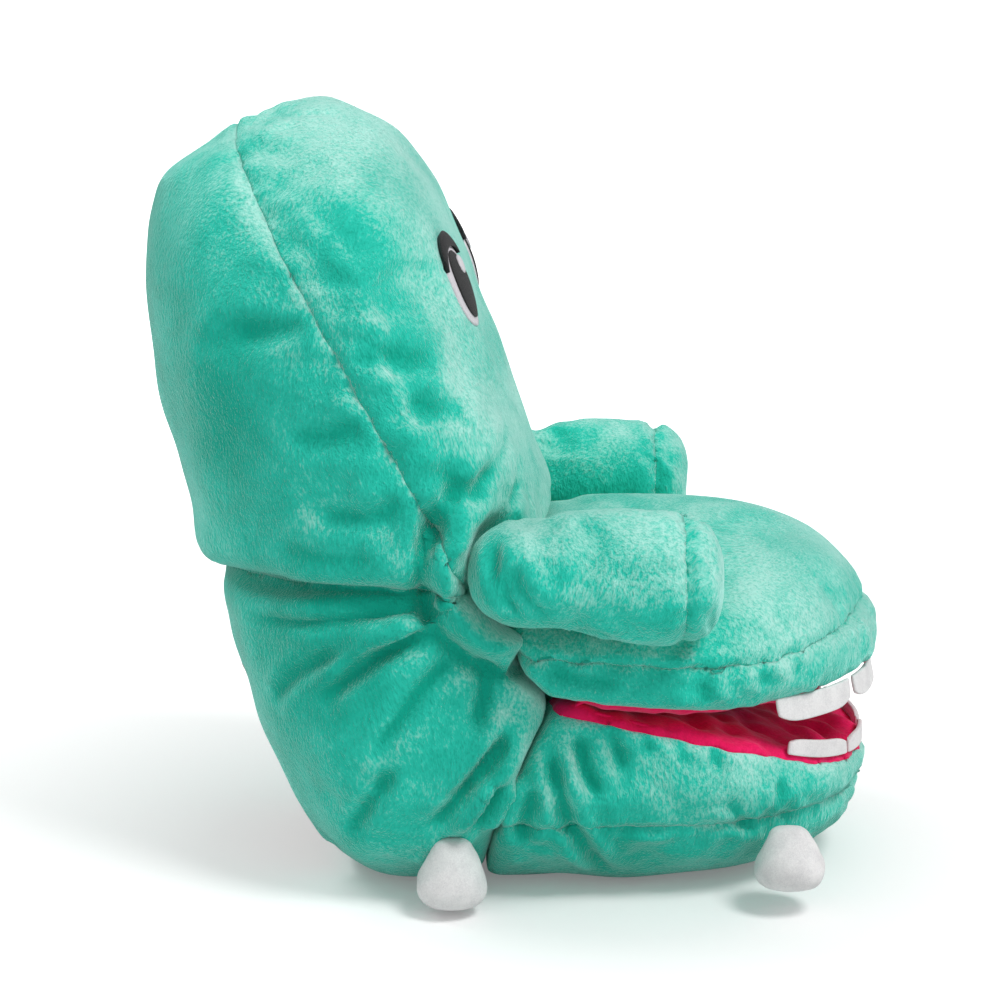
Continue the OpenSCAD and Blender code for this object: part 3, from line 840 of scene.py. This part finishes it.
def jaw_held(x, y, z):
    at_rim = np.exp(-(((z - through(RIM, y)) / 6) ** 2))
    at_seam = np.exp(-(((z - JAW_SEAM_Z) / 4) ** 2))
    return np.clip((y > through(JOIN_LINE, z) - 8) + at_rim + (z < 12) + at_seam, 0, 1)


stuff(jaw, jaw_held, pressure=3.0, slack=0.04, cap=3.0)
refine(jaw)
for side in (-1, 1):
    fold(jaw, [side_line(jaw, line, side) for line in (
        [(-12, 76), (-15, 56), (-20, 38), (-30, 20), (-38, 8)],
        [(-8, 56), (-3, 40), (0, 26)],
        [(-24, 76), (-27, 60), (-33, 48)])], 3.4, 3.2, lip=0.7)
    fold(jaw, [side_line(jaw, line, side) for line in (
        [(-84, 48), (-92, 34), (-99, 30)],
        [(-106, 52), (-108, 40)],
        [(-36, 80), (-40, 68), (-42, 58)],
        [(-50, 78), (-53, 66)],
        [(-64, 74), (-67, 62)],
        [(-78, 70), (-80, 60)])], 1.7, 2.6)
pucker(jaw, lambda p: p[:, 2] - through(RIM, p[:, 1]), 0.7, 9, 13, 23)
pucker(jaw, lambda p: p[:, 2] - JAW_SEAM_Z, 0.6, 8, 12, 29)
slub(jaw, 0.45, 38, 31)
lower_lining = cut_seam(jaw, "lower_mouth_plush", (0, 0, 0), (0, 0, 1), bow=lambda y: through(RIM, y) - 3.6,
                        groove=0.8, width=1.8)
bottom_cover = cut_seam(jaw, "bottom_cover", (0, 0, JAW_SEAM_Z), (0, 0, -1), groove=1.6)
PINK = finish("pink_short_pile", PILE,
              {"Deep": (0.62, 0.002, 0.065, 1), "Middle": (0.86, 0.008, 0.12, 1), "Light": (0.96, 0.045, 0.23, 1),
               "Tuft size": 800.0, "Drift size": 9.0}, 0.35,
              {"Sheen Weight": 0.35, "Sheen Roughness": 0.4, "Sheen Tint": (1.0, 0.55, 0.7, 1),
               "Specular IOR Level": 0.15})


def jaw_piece(piece, body, plush, nodes):
    """One plush piece of a jaw: backed, dressed, and fixed to the body it rides."""
    back(piece)
    dress(piece, plush)
    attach(piece, body)
    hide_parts(*nodes)


jaw_piece(jaw, "base", MINT, ("lower_jaw_panel", "lower_jaw_stuffing"))
jaw_piece(bottom_cover, "base", MINT, ("bottom_panel",))
jaw_piece(lower_lining, "base", PINK, ("lower_mouth_lining", "lower_mouth_board", "thumb_pocket"))


# ---- seat cushion: the upper jaw ----
# The seat is a domed cushion with a band round its side, and it is the puppet's upper jaw. The pink plush of the
# mouth closes it below, over a stiff board and the pocket for the fingers.
SEAT_FRONT_CENTRE = -60.5
SEAT_HALF = [(80, 88), (84, 91), (90, 95), (100, 97.5), (108, 97), (115, 91), (122, 82), (130, 68), (138, 52),
             (145, 32), (150, 6)]
SEAT_FRONT = [(80, 86), (84, 89), (90, 92), (99, 94), (108, 91), (115, 86), (122, 81), (130, 73), (138, 61),
              (145, 41), (150, 10)]


def outside_seat(x, y, z):
    side = stadium(x, y - SEAT_FRONT_CENTRE, through(SEAT_HALF, z), through(SEAT_FRONT, z))
    rear = np.where(y > MOUTH_AXIS[0], np.hypot(y - MOUTH_AXIS[0], z - MOUTH_AXIS[1]) - 32, -20)
    floor_z = 85 - 3.6 * np.exp(-(((y + 84) / 36) ** 2)) * np.clip((np.abs(x) - 40) / 30, 0, 1)
    return soft_common(soft_common(side, rear, 6), np.maximum(floor_z - z, z - 150), 5)


seat = grow("seat_band_cover", (0, -62, 112), outside_seat, cuts=36)
remesh(seat, 4.2)


def seat_held(x, y, z):
    return np.clip((y > -24) + (z < 90) + np.exp(-(((z - 108) / 4) ** 2)), 0, 1)


stuff(seat, seat_held, pressure=3.0, slack=0.04, cap=3.0)
refine(seat)
pucker(seat, lambda p: p[:, 2] - 105, 0.6, 9, 13, 41)
fold(seat, [side_line(seat, line, side) for side in (-1, 1) for line in (
    [(-8, 104), (-24, 99), (-44, 97)], [(-96, 104), (-99, 94)], [(-72, 98), (-74, 88)])], 1.6, 3.6)
pucker(seat, lambda p: p[:, 2] - 86, 0.5, 6, 12, 43)
slub(seat, 0.45, 40, 47)
SEAT_SEAM = [(-155, 113), (-135, 111), (-110, 106), (-80, 103), (-45, 105), (0, 108)]
SEAT_EDGE = [(-155, 88), (-125, 86), (-84, 83.5), (-45, 86.5), (-28, 88), (0, 88)]
seat_top = cut_seam(seat, "seat_top_cover", (0, 0, 0), (0, 0, 1), bow=lambda y: through(SEAT_SEAM, y), groove=1.9)
upper_lining = cut_seam(seat, "upper_mouth_plush", (0, 0, 0), (0, 0, -1), bow=lambda y: through(SEAT_EDGE, y),
                        groove=0.8, width=1.8)
jaw_piece(seat, "seat", MINT, ("seat_band", "finger_pocket"))
jaw_piece(seat_top, "seat", MINT, ("seat_top_panel", "seat_stuffing"))
jaw_piece(upper_lining, "seat", PINK, ("upper_mouth_lining", "upper_mouth_board"))


# ---- mouth fold ----
# Behind the two linings a folded strip of the same pink plush closes the mouth at its hinge. It is sewn to the
# lower lining in front, runs back to the corner and forward again under the upper one, so it opens like a bellows.
STRIP_HALF = 87
FOLD_STRIP = [(-62, 75.0), (-46, 79.5), (-34, 82.6), (-26, 84.6), (-23.5, 86.0), (-26, 87.0), (-36, 86.4),
              (-48, 86.0), (-60, 85.5)]
bm = bmesh.new()
bmesh.ops.create_grid(bm, x_segments=60, y_segments=32, size=1)
for v in bm.verts:
    along = (v.co.y + 1) / 2 * (len(FOLD_STRIP) - 1)
    k = np.arange(len(FOLD_STRIP))
    y, z = (np.interp(along, k, [q[i] for q in FOLD_STRIP]) for i in (0, 1))
    v.co = Vector((v.co.x * STRIP_HALF, y, z)) * MM
bmesh.ops.recalc_face_normals(bm, faces=bm.faces[:])
mouth_fold = show("mouth_fold_plush", bm)
back(mouth_fold, 1.0)
dress(mouth_fold, PINK)
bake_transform(mouth_fold)


# ---- teeth ----
# Four flaps of thick white felt hang from the edge of the upper jaw and four shorter ones stand on the lower rim.
# Each is cut with rounded corners, follows the curve of its jaw, and is caught in the seam by its straight edge.
def matted_felt():
    """Pressed wool: short fibres in all directions, slightly uneven in tone."""
    tree, given, gives = shader_group(
        "matted_felt", [("Wool", COLOUR, (0, 0, 0, 1)), ("Shade", COLOUR, (0, 0, 0, 1)), ("Fibres", NUMBER, 1100.0)],
        [("Colour", COLOUR), ("Roughness", NUMBER), ("Height", NUMBER)])
    where = add(tree, "TexCoord", {})["Object"]
    fibres = noise(tree, where, given["Fibres"], 3.0, 0.7, 1.2)["Fac"]
    clumps = noise(tree, where, calc(tree, "MULTIPLY", given["Fibres"], 0.11), 2.0)["Fac"]
    mat = blend_of(tree, fibres, 0.6, clumps, 0.4)
    feed(tree, gives["Colour"], mix(tree, span(tree, mat, 0.35, 0.6), given["Shade"], given["Wool"]))
    feed(tree, gives["Roughness"], calc(tree, "ADD", calc(tree, "MULTIPLY", fibres, 0.2), 0.75))
    feed(tree, gives["Height"], mat)
    return tree


def flap(name, centre_y, first, span_deg, edge, tip, tip_radius):
    """A felt tooth round the front; edge and tip give (radius, z) along the sewn edge and the free edge by angle."""
    bm = bmesh.new()
    bmesh.ops.create_grid(bm, x_segments=26, y_segments=9, size=1)
    for v in bm.verts:
        across, out = v.co.x, (v.co.y + 1) / 2
        corner = abs(across) ** 5 * out**3
        angle = math.radians(first + span_deg * (0.5 + 0.5 * across * (1 - 0.06 * out**2 * abs(across))))
        reach = out * (1 - 0.30 * corner)
        radius0, z0 = edge(angle)
        radius1, z1 = tip(angle)
        radius, z = radius0 + (radius1 - radius0) * reach**1.3, z0 + (z1 - z0) * reach
        v.co = Vector((-math.cos(angle) * radius, centre_y - math.sin(angle) * radius * tip_radius, z)) * MM
    bmesh.ops.recalc_face_normals(bm, faces=bm.faces[:])
    obj = show(name, bm)
    thick = obj.modifiers.new("felt", "SOLIDIFY")
    thick.thickness, thick.offset = 1.9 * MM, 0
    settle(obj)
    refine(obj)
    soften(obj)
    return obj


TEETH_CENTRE_Y = -60.5
UPPER_TEETH = {"from": 28.5, "span": 29.0, "height": 8.6}
LOWER_TEETH = {"from": 34.0, "span": 27.0, "height": 6.6}
FELT = matted_felt()
WHITE_FELT = finish("white_felt", FELT, {"Wool": (0.83, 0.82, 0.82, 1), "Shade": (0.66, 0.65, 0.66, 1)}, 0.35,
                    {"Sheen Weight": 0.3, "Sheen Roughness": 0.5, "Specular IOR Level": 0.15})


def rim_at(angle):
    return float(through(RIM, np.array([TEETH_CENTRE_Y - 88 * math.sin(angle)]))[0])


for jaw_name, teeth, rides_on in (("upper", UPPER_TEETH, "seat"), ("lower", LOWER_TEETH, "base")):
    pitch = (180 - 2 * teeth["from"] - teeth["span"]) / 3
    for n in range(4):
        start = teeth["from"] + n * pitch
        if jaw_name == "upper":
            tooth = flap(f"upper_felt_tooth_{n + 1}", TEETH_CENTRE_Y, start, teeth["span"], lambda a: (91.0, 87.0),
                         lambda a: (93.0, 85.0 - teeth["height"]), 1.0)
        else:
            tooth = flap(f"lower_felt_tooth_{n + 1}", TEETH_CENTRE_Y, start, teeth["span"],
                         lambda a: (88.6, rim_at(a) - 1.6), lambda a: (88.4, rim_at(a) + teeth["height"] - 0.6), 1.0)
        dress(tooth, WHITE_FELT)
        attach(tooth, rides_on)
        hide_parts(f"{jaw_name}_tooth_{n + 1}")


# ---- arms ----
# Each arm is a stuffed plush tube closed by a round end panel, and sewn to the body at its root.
ARM_SEAM_Y = -64.5
ARM_ROOT_Y = -0.5
ARM_RADIUS = [(-80, 25.3), (-64, 25.5), (-34, 24.6), (-10, 22.0), (12, 21.5)]
for side, hand in ((-1, "right"), (1, "left")):
    def outside_arm(x, y, z):
        rootward = np.clip((y + 60) / 66, 0, 1)
        across = np.hypot(x - side * ARM["x"], z - ARM["z"] - 2.6 * rootward)
        tube = across - through(ARM_RADIUS, y)
        root = np.where(y > ARM_ROOT_Y, np.hypot(across, y - ARM_ROOT_Y) - 21.5, -20)
        return soft_common(soft_common(tube, root, 4), -79.5 - y, 22)

    arm = grow(f"{hand}_arm_cover", (side * ARM["x"], -30, ARM["z"]), outside_arm, cuts=22)
    remesh(arm, 3.6)
    stuff(arm, lambda x, y, z: np.clip((y > 8) + np.exp(-(((y - ARM_SEAM_Y) / 3) ** 2)), 0, 1),
          pressure=3.0, slack=0.05, cap=2.2)
    refine(arm)
    fold(arm, [side_line(arm, line, side) for line in (
        [(8, 162), (10, 150), (5, 138), (-6, 127)],
        [(2, 154), (2, 146), (-4, 137), (-12, 131)],
        [(-20, 122), (-30, 124), (-38, 121)])], 2.2, 3.0)
    pucker(arm, lambda p: p[:, 1] - ARM_SEAM_Y, 0.5, 7, 10, 53 + side)
    slub(arm, 0.35, 30, 59 + side)
    arm_end = cut_seam(arm, f"{hand}_arm_end_cover", (0, ARM_SEAM_Y, 0), (0, -1, 0), groove=1.7)
    for piece, nodes in ((arm, ("arm_tube", "arm_stuffing")), (arm_end, ("arm_end",))):
        back(piece)
        dress(piece, MINT)
        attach(piece, f"{hand}_arm")
        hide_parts(*(f"{hand}_{n}" for n in nodes))

# ---- feet ----
# Four small feet of white felt, each a stuffed cone with a wide round bottom, sewn on by its narrow top with a
# short seam up its rear side.
FOOT_TALL = 30
FOOT_RADIUS = [(0, 2.5), (0.7, 7.2), (2.6, 11.0), (6, 13.5), (10.5, 14.4), (15, 13.6), (20, 11.4), (25, 8.8),
               (28.5, 6.6), (FOOT_TALL, 4.0)]
for name, x, y, z, tall, splay in (("front_right_foot", -93.5, -110, 9.5, 27, 19),
                                   ("front_left_foot", 93.5, -110, 9.5, 27, 19),
                                   ("rear_right_foot", -95, 27, 2.2, 30, 14),
                                   ("rear_left_foot", 95, 27, 2.2, 30, 14)):
    bm = bmesh.new()
    outline = [bm.verts.new((through(FOOT_RADIUS, np.array([h]))[0], 0, h)) for h in np.linspace(0, FOOT_TALL, 26)]
    edges = [bm.edges.new(pair) for pair in zip(outline, outline[1:])]
    bmesh.ops.spin(bm, geom=outline + edges, cent=(0, 0, 0), axis=(0, 0, 1), steps=40, angle=2 * math.pi,
                   use_merge=True)
    bmesh.ops.remove_doubles(bm, verts=bm.verts[:], dist=0.01)
    bmesh.ops.holes_fill(bm, edges=[e for e in bm.edges if e.is_boundary])
    bmesh.ops.recalc_face_normals(bm, faces=bm.faces[:])
    turn = math.copysign(math.radians(splay), -x)
    for v in bm.verts:
        around = math.atan2(v.co.y, v.co.x)
        seam = 0.5 * math.exp(-(((around - math.pi / 2) / 0.09) ** 2)) * min(1, (FOOT_TALL - v.co.z) / 6)
        lump = 0.35 * math.sin(3 * around + 0.3 * v.co.z + x) + 0.25 * math.sin(5 * around - 0.5 * v.co.z + y)
        wide = 1 + (lump - seam) / 14
        a, b, c = v.co.x * wide, v.co.y * wide, v.co.z * tall / FOOT_TALL
        across, up = a * math.cos(turn) + c * math.sin(turn), -a * math.sin(turn) + c * math.cos(turn)
        v.co = Vector((x + across, y + b, z + up)) * MM
    foot = show(f"{name}_felt", bm)
    refine(foot)
    soften(foot)
    dress(foot, WHITE_FELT)
    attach(foot, "base")
    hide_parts(name)


# ---- setting ----
# A plain white sheet runs under the puppet and, seen by the camera, glows: less near the puppet, which paints a soft
# shadow round it, and more further out, so it fades into the white round it. One broad soft lamp sits high at the
# front and a weaker one behind.
bm = bmesh.new()
bmesh.ops.create_grid(bm, x_segments=2, y_segments=2, size=6)
floor = show("floor", bm)
paper = bpy.data.materials.new("paper")
paper.use_nodes = True
sheet = paper.node_tree.nodes["Principled BSDF"].inputs
sheet["Roughness"].default_value = 0.9
sheet["Specular IOR Level"].default_value = 0.1
sheet["Emission Color"].default_value = (1, 1, 1, 1)
watched = add(paper.node_tree, "LightPath", {})["Is Camera Ray"]
spot = add(paper.node_tree, "TexCoord", {})["Object"]
away = add(paper.node_tree, "VectorMath", {0: spot}, operation="LENGTH")["Value"]
# Painted shadow: the glow is weakest near the puppet and rises between about 0.13 and 0.32 m, then to full white far
# out.
near = calc(paper.node_tree, "MULTIPLY", span(paper.node_tree, away, 0.13, 0.32), 0.26)
far = calc(paper.node_tree, "MULTIPLY", span(paper.node_tree, away, 0.5, 1.5), 0.6)
floor_glow_with_painted_shadow = calc(paper.node_tree, "ADD", calc(paper.node_tree, "ADD", near, far), 0.18)
feed(paper.node_tree, sheet["Emission Strength"], calc(paper.node_tree, "MULTIPLY", watched, floor_glow_with_painted_shadow))
fibres = noise(paper.node_tree, spot, 300.0)["Fac"]
feed(paper.node_tree, sheet["Base Color"], mix(paper.node_tree, fibres, (0.80, 0.80, 0.80, 1), (0.84, 0.84, 0.84, 1)))
dress(floor, paper)
world = bpy.data.worlds.new("studio")
bpy.context.scene.world = world
world.use_nodes = True
sky = world.node_tree
seen = add(sky, "LightPath", {})["Is Camera Ray"]
feed(sky, sky.nodes["Background"].inputs["Color"], (1, 1, 1, 1))
feed(sky, sky.nodes["Background"].inputs["Strength"], calc(sky, "ADD", calc(sky, "MULTIPLY", seen, 0.65), 0.5))


def lamp(name, place, aim, size, power):
    light = bpy.data.lights.new(name, "AREA")
    light.shape, light.size, light.energy = "DISK", size, power
    obj = bpy.data.objects.new(name, light)
    obj.location = place
    obj.rotation_euler = (Vector(aim) - Vector(place)).to_track_quat("-Z", "Y").to_euler()
    bpy.context.scene.collection.objects.link(obj)


lamp("key", (-0.9, -1.0, 2.0), (0, 0, 0.15), 0.8, 30)
lamp("rim", (0.5, 1.3, 1.7), (0, 0, 0.2), 1.0, 16)

camera = bpy.data.objects.new("camera", bpy.data.cameras.new("camera"))
target = Vector((0, 0.0075, 0.152))
camera.location = target + 1.1 * Vector((-math.cos(math.radians(12)), 0, math.sin(math.radians(12))))
camera.rotation_euler = (target - camera.location).to_track_quat("-Z", "Y").to_euler()
camera.data.lens, camera.data.sensor_width = 92.27, 36
bpy.context.scene.collection.objects.link(camera)
bpy.context.scene.camera = camera
bpy.context.scene.view_settings.view_transform = "Standard"
